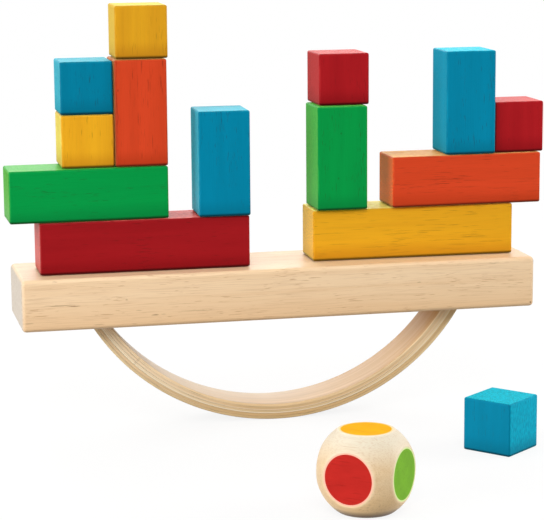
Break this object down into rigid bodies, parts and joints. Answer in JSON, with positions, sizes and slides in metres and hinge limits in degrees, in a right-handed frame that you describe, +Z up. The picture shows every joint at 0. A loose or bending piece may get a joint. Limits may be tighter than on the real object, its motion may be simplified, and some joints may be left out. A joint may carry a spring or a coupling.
{
  "type": "balance game",
  "caption": "Wooden balance game: stained blocks stacked in two towers on a beam that rocks on a bent-plywood runner, with a loose block and a colour die beside it.",
  "frame": {"origin": "on the table, under the middle of the rocker's lowest line", "axes": "+X along the beam to the right as seen from the front, +Y away from the front, +Z up"},
  "size_m": [0.2616, 0.2136, 0.2015],
  "materials": {
    "rubberwood": "sanded bare rubberwood with a thin clear oil",
    "veneer": "sanded veneer glued into a bend, clear oil",
    "red_stain": "rubberwood with a red water stain that shows the grain",
    "orange_stain": "rubberwood with an orange water stain that shows the grain",
    "yellow_stain": "rubberwood with a yellow water stain that shows the grain",
    "green_stain": "rubberwood with a green water stain that shows the grain",
    "blue_stain": "rubberwood with a blue water stain that shows the grain"
  },
  "bodies": {
    "loose_cube": {"blue_cube_loose": "blue_stain"},
    "balance": {"beam": "rubberwood", "rocker_ply_1": "veneer", "rocker_ply_2": "veneer", "rocker_ply_3": "veneer", "rocker_ply_4": "veneer", "rocker_ply_5": "veneer"},
    "red_bar": {"red_bar": "red_stain"},
    "green_bar": {"green_bar": "green_stain"},
    "blue_post_left": {"blue_post_left": "blue_stain"},
    "orange_post": {"orange_post": "orange_stain"},
    "yellow_cube_low": {"yellow_cube_low": "yellow_stain"},
    "blue_cube_stacked": {"blue_cube_stacked": "blue_stain"},
    "yellow_cube_top": {"yellow_cube_top": "yellow_stain"},
    "yellow_bar": {"yellow_bar": "yellow_stain"},
    "green_post": {"green_post": "green_stain"},
    "red_cube_top": {"red_cube_top": "red_stain"},
    "orange_bar": {"orange_bar": "orange_stain"},
    "blue_post_right": {"blue_post_right": "blue_stain"},
    "red_cube_end": {"red_cube_end": "red_stain"},
    "die": {"colour_die": "rubberwood"}
  },
  "joints": [
    {"name": "rock", "type": "hinge", "parent": "loose_cube", "child": "balance", "pos_m": [0, 0, 0.1064], "axis": [0, 1, 0], "range_deg": [-28.1, 28.1]},
    {"name": "lift_red_bar", "type": "slide", "parent": "balance", "child": "red_bar", "axis": [0, 0, 1], "range_m": [0, 0.06]},
    {"name": "lift_green_bar", "type": "slide", "parent": "red_bar", "child": "green_bar", "axis": [0, 0, 1], "range_m": [0, 0.06]},
    {"name": "lift_blue_post_left", "type": "slide", "parent": "red_bar", "child": "blue_post_left", "axis": [0, 0, 1], "range_m": [0, 0.06]},
    {"name": "lift_orange_post", "type": "slide", "parent": "green_bar", "child": "orange_post", "axis": [0, 0, 1], "range_m": [0, 0.06]},
    {"name": "lift_yellow_cube_low", "type": "slide", "parent": "green_bar", "child": "yellow_cube_low", "axis": [0, 0, 1], "range_m": [0, 0.06]},
    {"name": "lift_blue_cube_stacked", "type": "slide", "parent": "yellow_cube_low", "child": "blue_cube_stacked", "axis": [0, 0, 1], "range_m": [0, 0.06]},
    {"name": "lift_yellow_cube_top", "type": "slide", "parent": "orange_post", "child": "yellow_cube_top", "axis": [0, 0, 1], "range_m": [0, 0.06]},
    {"name": "lift_yellow_bar", "type": "slide", "parent": "balance", "child": "yellow_bar", "axis": [0, 0, 1], "range_m": [0, 0.06]},
    {"name": "lift_green_post", "type": "slide", "parent": "yellow_bar", "child": "green_post", "axis": [0, 0, 1], "range_m": [0, 0.06]},
    {"name": "lift_red_cube_top", "type": "slide", "parent": "green_post", "child": "red_cube_top", "axis": [0, 0, 1], "range_m": [0, 0.06]},
    {"name": "lift_orange_bar", "type": "slide", "parent": "yellow_bar", "child": "orange_bar", "axis": [0, 0, 1], "range_m": [0, 0.06]},
    {"name": "lift_blue_post_right", "type": "slide", "parent": "orange_bar", "child": "blue_post_right", "axis": [0, 0, 1], "range_m": [0, 0.06]},
    {"name": "lift_red_cube_end", "type": "slide", "parent": "orange_bar", "child": "red_cube_end", "axis": [0, 0, 1], "range_m": [0, 0.06]},
    {"name": "lift_die", "type": "slide", "parent": "loose_cube", "child": "die", "axis": [0, 0, 1], "range_m": [0, 0.06]}
  ]
}
